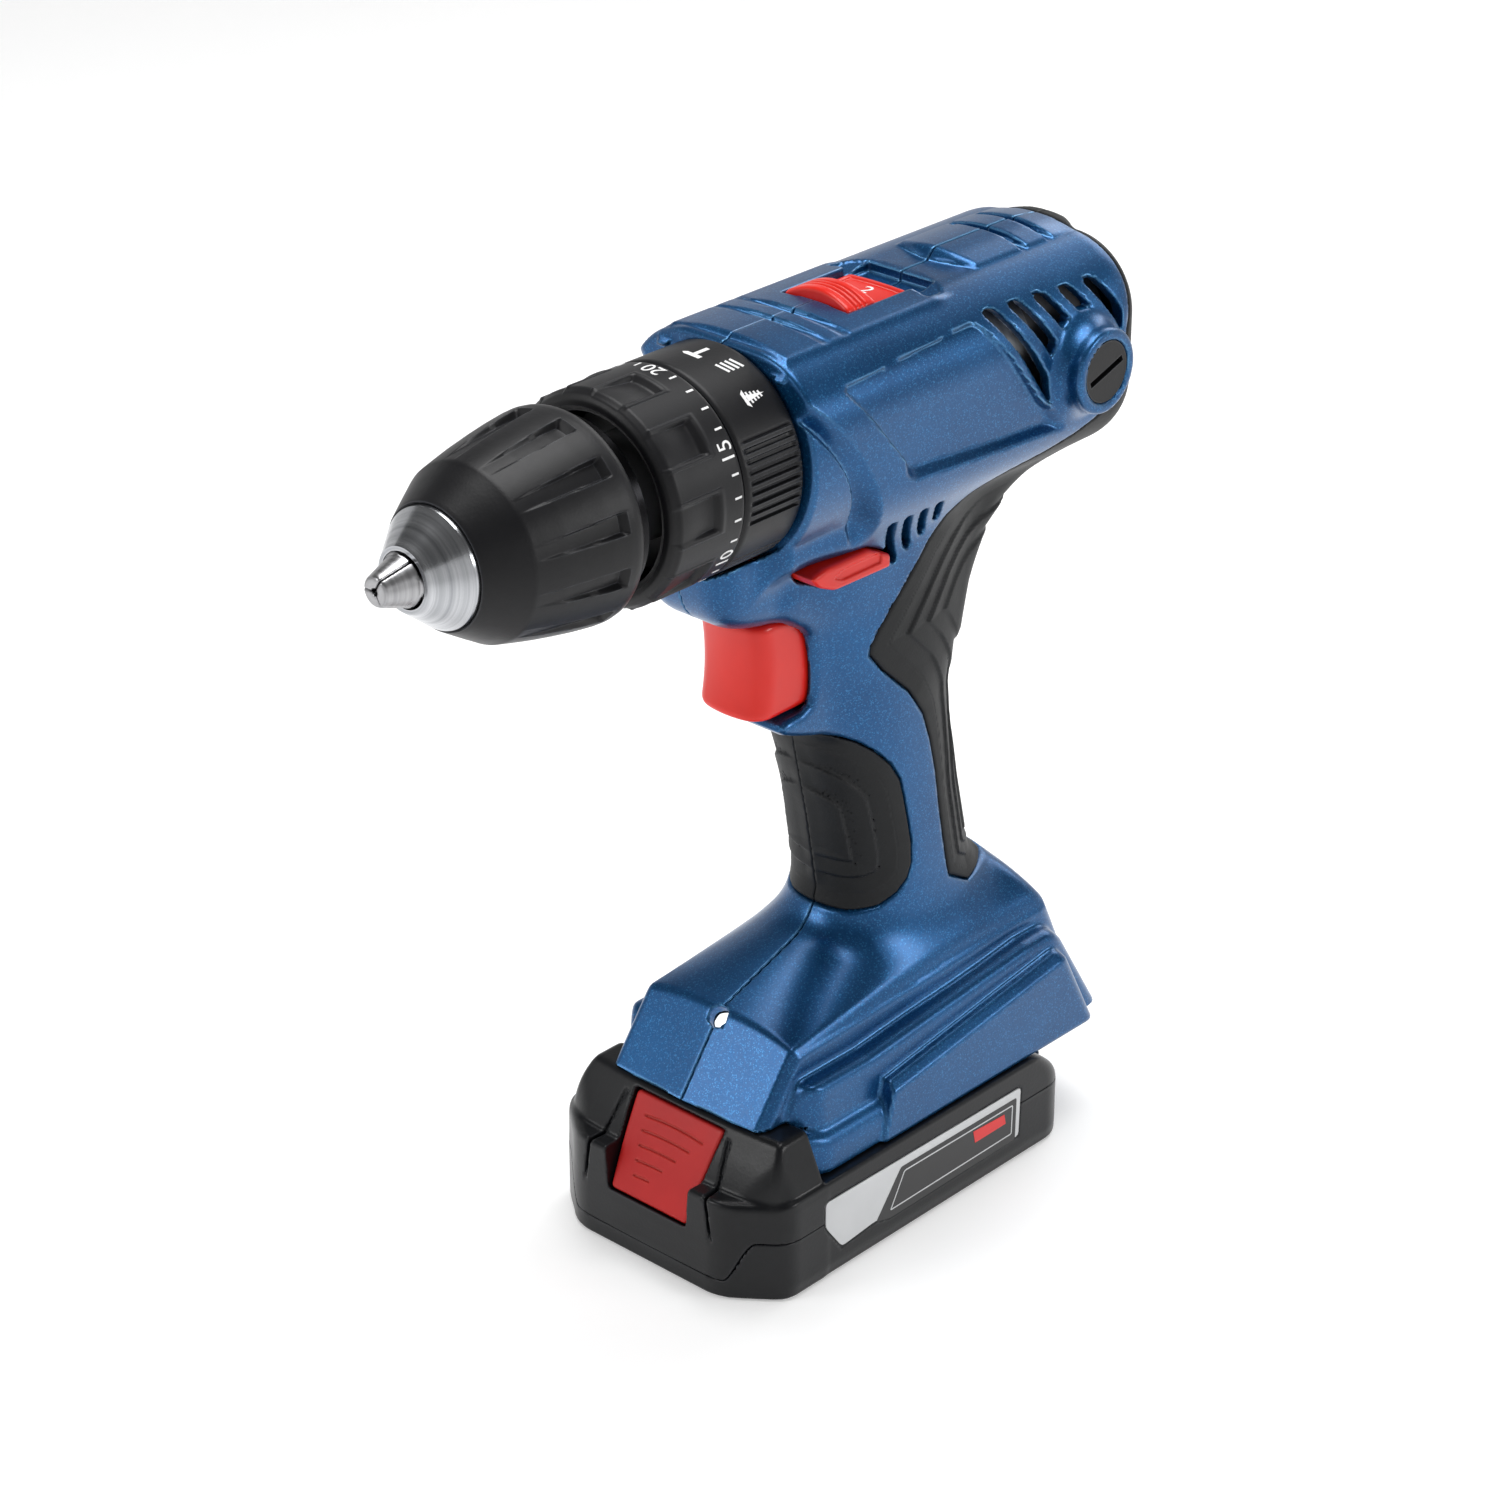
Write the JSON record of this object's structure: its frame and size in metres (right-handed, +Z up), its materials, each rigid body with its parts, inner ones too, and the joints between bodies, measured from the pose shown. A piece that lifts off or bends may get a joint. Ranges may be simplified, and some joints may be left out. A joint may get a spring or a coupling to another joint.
{
  "type": "cordless drill",
  "caption": "Pistol-grip cordless hammer drill with keyless three-jaw chuck, torque and mode rings, two-speed planetary gearbox and a slide-on battery pack.",
  "frame": {"origin": "centre of the battery pack's resting face", "axes": "+X along the drive axis in the drilling direction, +Y the tool's left side, +Z up"},
  "size_m": [0.2257, 0.075, 0.2355],
  "materials": {
    "blue_housing": "satin moulded plastic with a fine metallic fleck",
    "grip_rubber": "matt soft-touch rubber",
    "black_plastic": "fine-textured black plastic",
    "red_plastic": "satin red plastic",
    "dark_red_plastic": "satin dark red plastic",
    "chuck_steel": "turned steel",
    "gear_steel": "oiled sintered steel",
    "motor_steel": "zinc-plated steel",
    "gearbox_nylon": "glass-filled nylon",
    "screw_steel": "blackened steel",
    "spring_steel": "drawn spring wire",
    "copper": "turned copper",
    "carbon": "pressed carbon",
    "lens": "clear lens",
    "wire_cover": "soft wire insulation",
    "cell_wrap": "shrink wrap",
    "circuit_board": "solder mask"
  },
  "bodies": {
    "housing": {"housing_left": "blue_housing", "housing_right": "blue_housing", "soft_grips_left": "grip_rubber", "soft_grips_right": "grip_rubber", "housing_screws": "screw_steel", "motor_can": "motor_steel", "motor_end_bracket": "gearbox_nylon", "motor_bearings": "gear_steel", "motor_front_plate": "gearbox_nylon", "carbon_brushes": "carbon", "brush_caps": "black_plastic", "gearbox_case": "gearbox_nylon", "clutch_balls": "gear_steel", "first_ring_gear": "gear_steel", "clutch_ring_gear": "gear_steel", "spindle_bearing": "gear_steel", "fixed_ratchet": "gear_steel", "switch_module": "black_plastic", "led_lens": "lens", "terminal_block": "black_plastic", "wiring": "wire_cover", "trigger_spring": "spring_steel"},
    "rotor": {"rotor_shaft": "motor_steel", "armature": "motor_steel", "commutator": "copper", "cooling_fan": "gearbox_nylon"},
    "middle_stage": {"first_carrier": "gear_steel", "second_planets": "gear_steel", "second_carrier": "gear_steel"},
    "shift_ring": {"shift_ring_gear": "gear_steel"},
    "output_stage": {"output_carrier": "gear_steel"},
    "spindle": {"spindle": "gear_steel", "chuck_body": "chuck_steel", "chuck_screw": "chuck_steel"},
    "chuck_sleeve": {"chuck_sleeve": "black_plastic", "chuck_nut": "chuck_steel"},
    "torque_ring": {"torque_ring": "black_plastic"},
    "clutch_nut": {"clutch_nut": "gearbox_nylon", "clutch_spring": "spring_steel"},
    "mode_ring": {"mode_ring": "black_plastic"},
    "gear_selector": {"gear_selector": "red_plastic", "shift_fork": "spring_steel"},
    "trigger": {"trigger": "red_plastic"},
    "direction_bar": {"direction_bar": "red_plastic"},
    "battery": {"battery_upper_case": "black_plastic", "battery_lower_case": "black_plastic", "battery_cells": "cell_wrap", "battery_board": "circuit_board", "battery_screws": "screw_steel", "battery_button_spring": "spring_steel"},
    "battery_button": {"battery_button": "dark_red_plastic"},
    "first_planet_1": {"first_planet_1": "gear_steel"},
    "third_planet_1": {"third_planet_1": "gear_steel"},
    "jaw_1": {"jaw_1": "chuck_steel"},
    "first_planet_2": {"first_planet_2": "gear_steel"},
    "third_planet_2": {"third_planet_2": "gear_steel"},
    "jaw_2": {"jaw_2": "chuck_steel"},
    "first_planet_3": {"first_planet_3": "gear_steel"},
    "third_planet_3": {"third_planet_3": "gear_steel"},
    "jaw_3": {"jaw_3": "chuck_steel"}
  },
  "joints": [
    {"name": "spindle_spin", "type": "hinge", "parent": "housing", "child": "output_stage", "pos_m": [0.037, 0, 0.206], "axis": [1, 0, 0], "continuous": true},
    {"name": "middle_spin", "type": "hinge", "parent": "housing", "child": "middle_stage", "pos_m": [0.02, 0, 0.206], "axis": [1, 0, 0], "continuous": true},
    {"name": "rotor_spin", "type": "hinge", "parent": "housing", "child": "rotor", "pos_m": [-0.03, 0, 0.206], "axis": [1, 0, 0], "continuous": true},
    {"name": "first_planet_1_spin", "type": "hinge", "parent": "middle_stage", "child": "first_planet_1", "pos_m": [0.007, 0.01215, 0.206], "axis": [1, 0, 0], "continuous": true},
    {"name": "third_planet_1_spin", "type": "hinge", "parent": "output_stage", "child": "third_planet_1", "pos_m": [0.032, 0.01215, 0.206], "axis": [1, 0, 0], "continuous": true},
    {"name": "first_planet_2_spin", "type": "hinge", "parent": "middle_stage", "child": "first_planet_2", "pos_m": [0.007, -0.00607, 0.21652], "axis": [1, 0, 0], "continuous": true},
    {"name": "third_planet_2_spin", "type": "hinge", "parent": "output_stage", "child": "third_planet_2", "pos_m": [0.032, -0.00607, 0.21652], "axis": [1, 0, 0], "continuous": true},
    {"name": "first_planet_3_spin", "type": "hinge", "parent": "middle_stage", "child": "first_planet_3", "pos_m": [0.007, -0.00607, 0.19548], "axis": [1, 0, 0], "continuous": true},
    {"name": "third_planet_3_spin", "type": "hinge", "parent": "output_stage", "child": "third_planet_3", "pos_m": [0.032, -0.00607, 0.19548], "axis": [1, 0, 0], "continuous": true},
    {"name": "spindle_float", "type": "slide", "parent": "output_stage", "child": "spindle", "axis": [1, 0, 0], "range_m": [-0.0012, 0], "stiffness_N_per_m": 3000, "springref_m": 0.002},
    {"name": "chuck_sleeve_turn", "type": "hinge", "parent": "spindle", "child": "chuck_sleeve", "pos_m": [0.1, 0, 0.206], "axis": [1, 0, 0], "range_deg": [0, 2880]},
    {"name": "jaw_1_slide", "type": "slide", "parent": "spindle", "child": "jaw_1", "axis": [-0.9659, 0.2588, 0], "range_m": [0, 0.0222]},
    {"name": "jaw_2_slide", "type": "slide", "parent": "spindle", "child": "jaw_2", "axis": [-0.9659, -0.1294, 0.2241], "range_m": [0, 0.0222]},
    {"name": "jaw_3_slide", "type": "slide", "parent": "spindle", "child": "jaw_3", "axis": [-0.9659, -0.1294, -0.2241], "range_m": [0, 0.0222]},
    {"name": "torque_ring_turn", "type": "hinge", "parent": "housing", "child": "torque_ring", "pos_m": [0.062, 0, 0.206], "axis": [1, 0, 0], "range_deg": [-150, 150]},
    {"name": "clutch_nut_slide", "type": "slide", "parent": "torque_ring", "child": "clutch_nut", "axis": [1, 0, 0], "range_m": [-0.003, 0.003], "deforming": ["clutch_spring"]},
    {"name": "mode_ring_turn", "type": "hinge", "parent": "housing", "child": "mode_ring", "pos_m": [0.043, 0, 0.206], "axis": [1, 0, 0], "range_deg": [-28, 28]},
    {"name": "gear_selector_slide", "type": "slide", "parent": "housing", "child": "gear_selector", "axis": [1, 0, 0], "range_m": [-0.006, 0]},
    {"name": "shift_ring_slide", "type": "slide", "parent": "middle_stage", "child": "shift_ring", "axis": [1, 0, 0], "range_m": [-0.006, 0]},
    {"name": "trigger_slide", "type": "slide", "parent": "housing", "child": "trigger", "axis": [1, 0, 0], "range_m": [-0.006, 0], "stiffness_N_per_m": 400, "springref_m": 0.006, "deforming": ["trigger_spring"]},
    {"name": "direction_bar_slide", "type": "slide", "parent": "housing", "child": "direction_bar", "axis": [0, 1, 0], "range_m": [-0.0025, 0.0025]},
    {"name": "battery_slide", "type": "slide", "parent": "housing", "child": "battery", "axis": [1, 0, 0], "range_m": [0, 0.09]},
    {"name": "battery_button_press", "type": "slide", "parent": "battery", "child": "battery_button", "axis": [-0.8782, 0, -0.4783], "range_m": [0, 0.003], "stiffness_N_per_m": 800, "springref_m": -0.003, "deforming": ["battery_button_spring"]}
  ],
  "couplings": [
    {"joint": "middle_spin", "follows": "spindle_spin", "ratio": 3.6},
    {"joint": "rotor_spin", "follows": "spindle_spin", "ratio": 12.96},
    {"joint": "first_planet_1_spin", "follows": "spindle_spin", "ratio": -11.7},
    {"joint": "third_planet_1_spin", "follows": "spindle_spin", "ratio": -3.25},
    {"joint": "first_planet_2_spin", "follows": "spindle_spin", "ratio": -11.7},
    {"joint": "third_planet_2_spin", "follows": "spindle_spin", "ratio": -3.25},
    {"joint": "first_planet_3_spin", "follows": "spindle_spin", "ratio": -11.7},
    {"joint": "third_planet_3_spin", "follows": "spindle_spin", "ratio": -3.25},
    {"joint": "jaw_1_slide", "follows": "chuck_sleeve_turn", "m_per_rad": 0.00044121},
    {"joint": "jaw_2_slide", "follows": "chuck_sleeve_turn", "m_per_rad": 0.00044121},
    {"joint": "jaw_3_slide", "follows": "chuck_sleeve_turn", "m_per_rad": 0.00044121},
    {"joint": "clutch_nut_slide", "follows": "torque_ring_turn", "m_per_rad": 0.0011448},
    {"joint": "shift_ring_slide", "follows": "gear_selector_slide", "ratio": 1}
  ]
}
